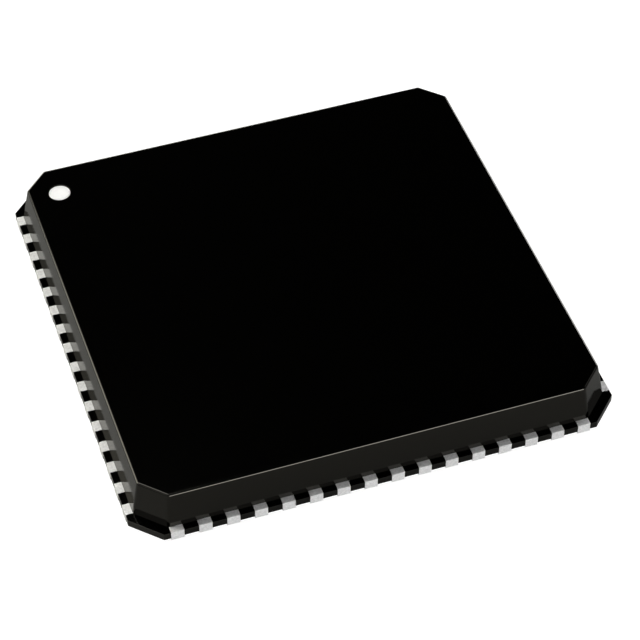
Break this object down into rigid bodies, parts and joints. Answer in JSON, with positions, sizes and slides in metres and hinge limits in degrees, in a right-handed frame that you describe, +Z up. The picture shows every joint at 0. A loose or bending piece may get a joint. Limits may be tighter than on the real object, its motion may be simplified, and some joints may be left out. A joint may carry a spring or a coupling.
{
  "type": "integrated circuit",
  "caption": "Thin square black moulded integrated circuit with rows of flat tin-plated lands under its four edges, a central heat pad underneath and a white orientation dot on top.",
  "frame": {"origin": "middle of the underside, on the plane of the lead feet", "axes": "+Z up through the top face; +X along the front row of leads, towards the right side; +Y from the front row to the back row; the white dot beside lead 1 is at the left back corner"},
  "size_m": [0.009, 0.009, 0.0009],
  "materials": {
    "moulding_compound": "black glass-filled epoxy, smooth, semi-gloss on the side walls",
    "tin_plate": "matte tin plating on copper lead frame",
    "die_glue": "cured silver-filled epoxy",
    "white_ink": "flat white marking ink"
  },
  "bodies": {
    "root": {"mold_body": "moulding_compound", "die_paddle": "tin_plate", "die_attach": "die_glue", "wire_bonded_die": "tin_plate", "pin_1_mark": "white_ink", "lead_01": "tin_plate", "lead_02": "tin_plate", "lead_03": "tin_plate", "lead_04": "tin_plate", "lead_06": "tin_plate", "lead_07": "tin_plate", "lead_08": "tin_plate", "lead_09": "tin_plate", "lead_11": "tin_plate", "lead_12": "tin_plate", "lead_13": "tin_plate", "lead_14": "tin_plate", "lead_16": "tin_plate", "lead_17": "tin_plate", "lead_18": "tin_plate", "lead_19": "tin_plate", "lead_21": "tin_plate", "lead_22": "tin_plate", "lead_23": "tin_plate", "lead_24": "tin_plate", "lead_26": "tin_plate", "lead_27": "tin_plate", "lead_28": "tin_plate", "lead_29": "tin_plate", "lead_31": "tin_plate", "lead_32": "tin_plate", "lead_33": "tin_plate", "lead_34": "tin_plate", "lead_36": "tin_plate", "lead_37": "tin_plate", "lead_38": "tin_plate", "lead_39": "tin_plate", "lead_41": "tin_plate", "lead_42": "tin_plate", "lead_43": "tin_plate", "lead_44": "tin_plate", "lead_46": "tin_plate", "lead_47": "tin_plate", "lead_48": "tin_plate", "lead_49": "tin_plate", "lead_51": "tin_plate", "lead_52": "tin_plate", "lead_53": "tin_plate", "lead_54": "tin_plate", "lead_56": "tin_plate", "lead_57": "tin_plate", "lead_58": "tin_plate", "lead_59": "tin_plate", "lead_61": "tin_plate", "lead_62": "tin_plate", "lead_63": "tin_plate", "lead_64": "tin_plate"}
  },
  "joints": []
}
